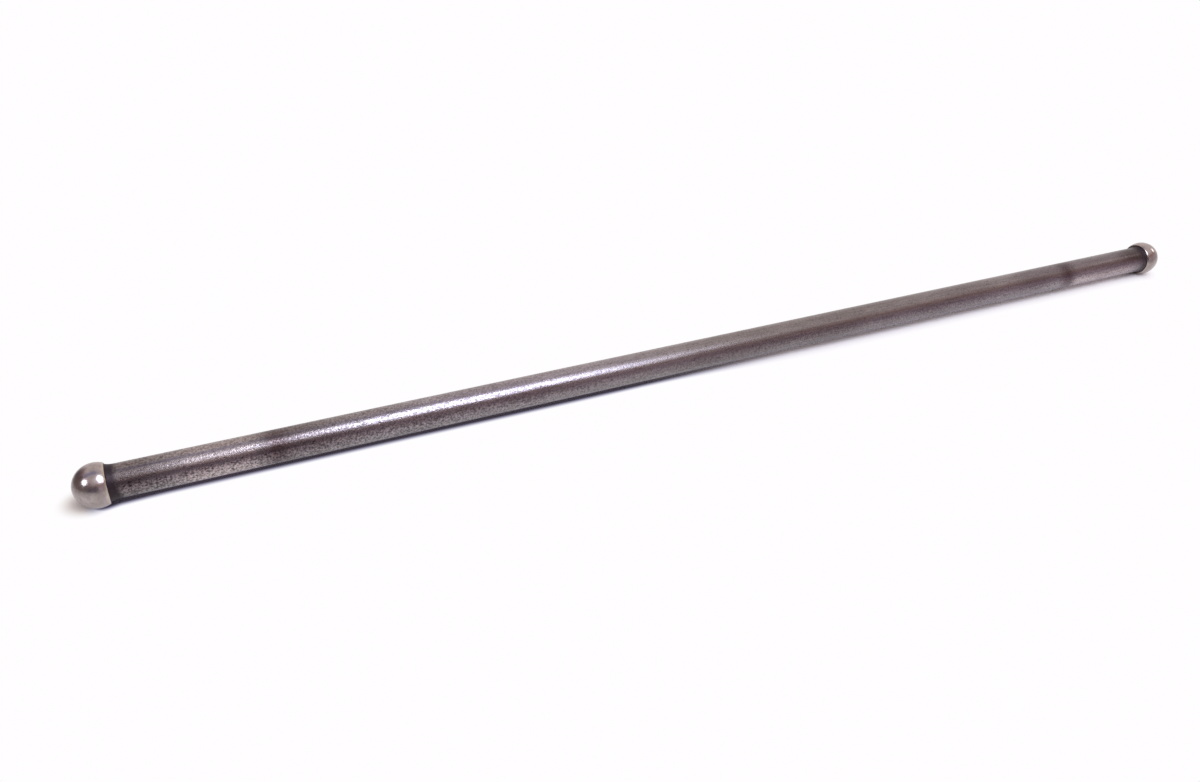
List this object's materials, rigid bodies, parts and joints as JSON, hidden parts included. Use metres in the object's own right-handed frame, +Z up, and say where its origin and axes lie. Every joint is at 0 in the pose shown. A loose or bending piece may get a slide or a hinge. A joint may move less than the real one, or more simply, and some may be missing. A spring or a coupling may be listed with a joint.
{
  "type": "engine pushrod",
  "caption": "Straight solid steel rod with a ground ball headed on either end, used to carry the lift of a valve lifter up to its rocker arm.",
  "frame": {"origin": "middle of the rod, on its axis", "axes": "+X along the rod, +Z up as the rod lies on a bench"},
  "size_m": [0.305, 0.0094, 0.0096],
  "materials": {
    "steel": "dark drawn shank with fine pits and heat bands, bright ground balls, black scale on the necks"
  },
  "bodies": {
    "root": {"pushrod": "steel"}
  },
  "joints": []
}
